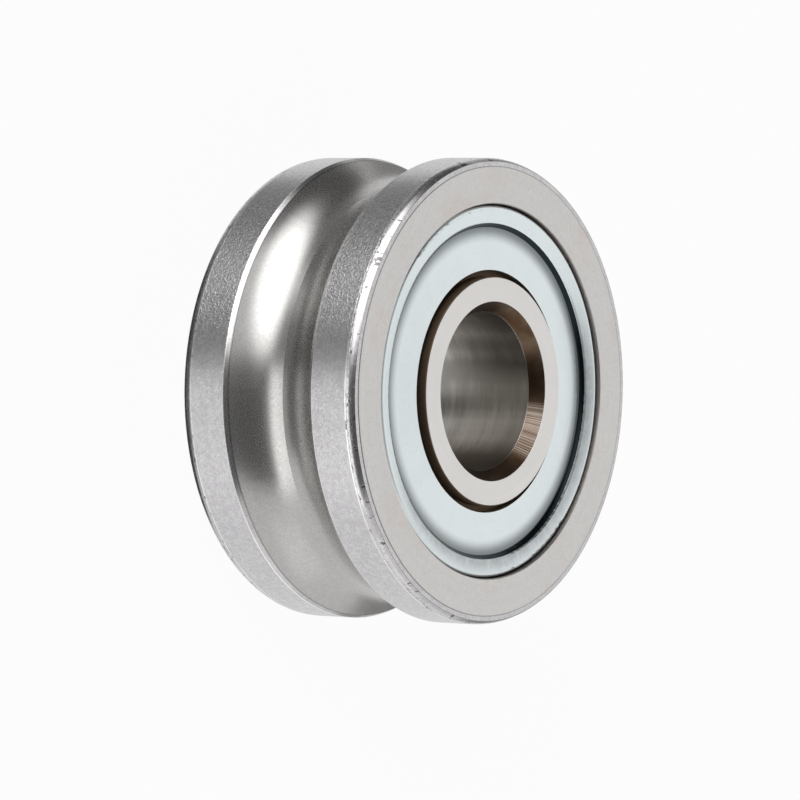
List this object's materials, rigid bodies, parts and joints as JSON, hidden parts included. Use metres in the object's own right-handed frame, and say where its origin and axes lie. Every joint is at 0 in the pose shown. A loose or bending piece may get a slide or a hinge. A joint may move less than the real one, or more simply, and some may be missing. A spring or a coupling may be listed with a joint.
{
  "type": "yoke track roller",
  "caption": "Bore-mounted track roller with a deep round groove that runs on a steel shaft, and sheet-metal shields over its ball bearing.",
  "frame": {"origin": "roller centre: on the bore axis, midway between the two end faces", "axes": "+Z along the bore axis, out of the front face, which is the one that the picture shows; +X through the first ball of the front row"},
  "size_m": [0.035, 0.035, 0.016],
  "materials": {
    "ring_steel": "ground bearing steel",
    "zinc_sheet": "bright zinc-plated sheet steel",
    "ball_steel": "polished",
    "cage_plastic": "moulded, satin"
  },
  "bodies": {
    "hub": {"inner_ring": "ring_steel"},
    "roller": {"outer_ring": "ring_steel", "front_shield": "zinc_sheet", "rear_shield": "zinc_sheet"},
    "front_cage": {"front_cage": "cage_plastic"},
    "front_ball_01": {"front_ball_01": "ball_steel"},
    "front_ball_02": {"front_ball_02": "ball_steel"},
    "front_ball_03": {"front_ball_03": "ball_steel"},
    "front_ball_04": {"front_ball_04": "ball_steel"},
    "front_ball_05": {"front_ball_05": "ball_steel"},
    "front_ball_06": {"front_ball_06": "ball_steel"},
    "front_ball_07": {"front_ball_07": "ball_steel"},
    "front_ball_08": {"front_ball_08": "ball_steel"},
    "front_ball_09": {"front_ball_09": "ball_steel"},
    "front_ball_10": {"front_ball_10": "ball_steel"},
    "rear_cage": {"rear_cage": "cage_plastic"},
    "rear_ball_01": {"rear_ball_01": "ball_steel"},
    "rear_ball_02": {"rear_ball_02": "ball_steel"},
    "rear_ball_03": {"rear_ball_03": "ball_steel"},
    "rear_ball_04": {"rear_ball_04": "ball_steel"},
    "rear_ball_05": {"rear_ball_05": "ball_steel"},
    "rear_ball_06": {"rear_ball_06": "ball_steel"},
    "rear_ball_07": {"rear_ball_07": "ball_steel"},
    "rear_ball_08": {"rear_ball_08": "ball_steel"},
    "rear_ball_09": {"rear_ball_09": "ball_steel"},
    "rear_ball_10": {"rear_ball_10": "ball_steel"}
  },
  "joints": [
    {"name": "outer_spin", "type": "hinge", "parent": "hub", "child": "roller", "pos_m": [0, 0, 0], "axis": [0, 0, 1], "continuous": true},
    {"name": "front_cage_spin", "type": "hinge", "parent": "hub", "child": "front_cage", "pos_m": [0, 0, 0.00311], "axis": [0, 0, 1], "continuous": true},
    {"name": "front_ball_01_roll", "type": "hinge", "parent": "front_cage", "child": "front_ball_01", "pos_m": [0.01115, 0, 0.00311], "axis": [0.5, 0, 0.866], "continuous": true},
    {"name": "front_ball_02_roll", "type": "hinge", "parent": "front_cage", "child": "front_ball_02", "pos_m": [0.00902, 0.00655, 0.00311], "axis": [0.4045, 0.2939, 0.866], "continuous": true},
    {"name": "front_ball_03_roll", "type": "hinge", "parent": "front_cage", "child": "front_ball_03", "pos_m": [0.00345, 0.0106, 0.00311], "axis": [0.1545, 0.4755, 0.866], "continuous": true},
    {"name": "front_ball_04_roll", "type": "hinge", "parent": "front_cage", "child": "front_ball_04", "pos_m": [-0.00345, 0.0106, 0.00311], "axis": [-0.1545, 0.4755, 0.866], "continuous": true},
    {"name": "front_ball_05_roll", "type": "hinge", "parent": "front_cage", "child": "front_ball_05", "pos_m": [-0.00902, 0.00655, 0.00311], "axis": [-0.4045, 0.2939, 0.866], "continuous": true},
    {"name": "front_ball_06_roll", "type": "hinge", "parent": "front_cage", "child": "front_ball_06", "pos_m": [-0.01115, 0, 0.00311], "axis": [-0.5, 0, 0.866], "continuous": true},
    {"name": "front_ball_07_roll", "type": "hinge", "parent": "front_cage", "child": "front_ball_07", "pos_m": [-0.00902, -0.00655, 0.00311], "axis": [-0.4045, -0.2939, 0.866], "continuous": true},
    {"name": "front_ball_08_roll", "type": "hinge", "parent": "front_cage", "child": "front_ball_08", "pos_m": [-0.00345, -0.0106, 0.00311], "axis": [-0.1545, -0.4755, 0.866], "continuous": true},
    {"name": "front_ball_09_roll", "type": "hinge", "parent": "front_cage", "child": "front_ball_09", "pos_m": [0.00345, -0.0106, 0.00311], "axis": [0.1545, -0.4755, 0.866], "continuous": true},
    {"name": "front_ball_10_roll", "type": "hinge", "parent": "front_cage", "child": "front_ball_10", "pos_m": [0.00902, -0.00655, 0.00311], "axis": [0.4045, -0.2939, 0.866], "continuous": true},
    {"name": "rear_cage_spin", "type": "hinge", "parent": "hub", "child": "rear_cage", "pos_m": [0, 0, -0.00311], "axis": [0, 0, 1], "continuous": true},
    {"name": "rear_ball_01_roll", "type": "hinge", "parent": "rear_cage", "child": "rear_ball_01", "pos_m": [0.0106, 0.00345, -0.00311], "axis": [-0.4755, -0.1545, 0.866], "continuous": true},
    {"name": "rear_ball_02_roll", "type": "hinge", "parent": "rear_cage", "child": "rear_ball_02", "pos_m": [0.00655, 0.00902, -0.00311], "axis": [-0.2939, -0.4045, 0.866], "continuous": true},
    {"name": "rear_ball_03_roll", "type": "hinge", "parent": "rear_cage", "child": "rear_ball_03", "pos_m": [0, 0.01115, -0.00311], "axis": [0, -0.5, 0.866], "continuous": true},
    {"name": "rear_ball_04_roll", "type": "hinge", "parent": "rear_cage", "child": "rear_ball_04", "pos_m": [-0.00655, 0.00902, -0.00311], "axis": [0.2939, -0.4045, 0.866], "continuous": true},
    {"name": "rear_ball_05_roll", "type": "hinge", "parent": "rear_cage", "child": "rear_ball_05", "pos_m": [-0.0106, 0.00345, -0.00311], "axis": [0.4755, -0.1545, 0.866], "continuous": true},
    {"name": "rear_ball_06_roll", "type": "hinge", "parent": "rear_cage", "child": "rear_ball_06", "pos_m": [-0.0106, -0.00345, -0.00311], "axis": [0.4755, 0.1545, 0.866], "continuous": true},
    {"name": "rear_ball_07_roll", "type": "hinge", "parent": "rear_cage", "child": "rear_ball_07", "pos_m": [-0.00655, -0.00902, -0.00311], "axis": [0.2939, 0.4045, 0.866], "continuous": true},
    {"name": "rear_ball_08_roll", "type": "hinge", "parent": "rear_cage", "child": "rear_ball_08", "pos_m": [0, -0.01115, -0.00311], "axis": [0, 0.5, 0.866], "continuous": true},
    {"name": "rear_ball_09_roll", "type": "hinge", "parent": "rear_cage", "child": "rear_ball_09", "pos_m": [0.00655, -0.00902, -0.00311], "axis": [-0.2939, 0.4045, 0.866], "continuous": true},
    {"name": "rear_ball_10_roll", "type": "hinge", "parent": "rear_cage", "child": "rear_ball_10", "pos_m": [0.0106, -0.00345, -0.00311], "axis": [-0.4755, 0.1545, 0.866], "continuous": true}
  ],
  "couplings": [
    {"joint": "front_cage_spin", "follows": "outer_spin", "ratio": 0.59247},
    {"joint": "front_ball_01_roll", "follows": "outer_spin", "ratio": 2.2613},
    {"joint": "front_ball_02_roll", "follows": "outer_spin", "ratio": 2.2613},
    {"joint": "front_ball_03_roll", "follows": "outer_spin", "ratio": 2.2613},
    {"joint": "front_ball_04_roll", "follows": "outer_spin", "ratio": 2.2613},
    {"joint": "front_ball_05_roll", "follows": "outer_spin", "ratio": 2.2613},
    {"joint": "front_ball_06_roll", "follows": "outer_spin", "ratio": 2.2613},
    {"joint": "front_ball_07_roll", "follows": "outer_spin", "ratio": 2.2613},
    {"joint": "front_ball_08_roll", "follows": "outer_spin", "ratio": 2.2613},
    {"joint": "front_ball_09_roll", "follows": "outer_spin", "ratio": 2.2613},
    {"joint": "front_ball_10_roll", "follows": "outer_spin", "ratio": 2.2613},
    {"joint": "rear_cage_spin", "follows": "outer_spin", "ratio": 0.59247},
    {"joint": "rear_ball_01_roll", "follows": "outer_spin", "ratio": 2.2613},
    {"joint": "rear_ball_02_roll", "follows": "outer_spin", "ratio": 2.2613},
    {"joint": "rear_ball_03_roll", "follows": "outer_spin", "ratio": 2.2613},
    {"joint": "rear_ball_04_roll", "follows": "outer_spin", "ratio": 2.2613},
    {"joint": "rear_ball_05_roll", "follows": "outer_spin", "ratio": 2.2613},
    {"joint": "rear_ball_06_roll", "follows": "outer_spin", "ratio": 2.2613},
    {"joint": "rear_ball_07_roll", "follows": "outer_spin", "ratio": 2.2613},
    {"joint": "rear_ball_08_roll", "follows": "outer_spin", "ratio": 2.2613},
    {"joint": "rear_ball_09_roll", "follows": "outer_spin", "ratio": 2.2613},
    {"joint": "rear_ball_10_roll", "follows": "outer_spin", "ratio": 2.2613}
  ]
}
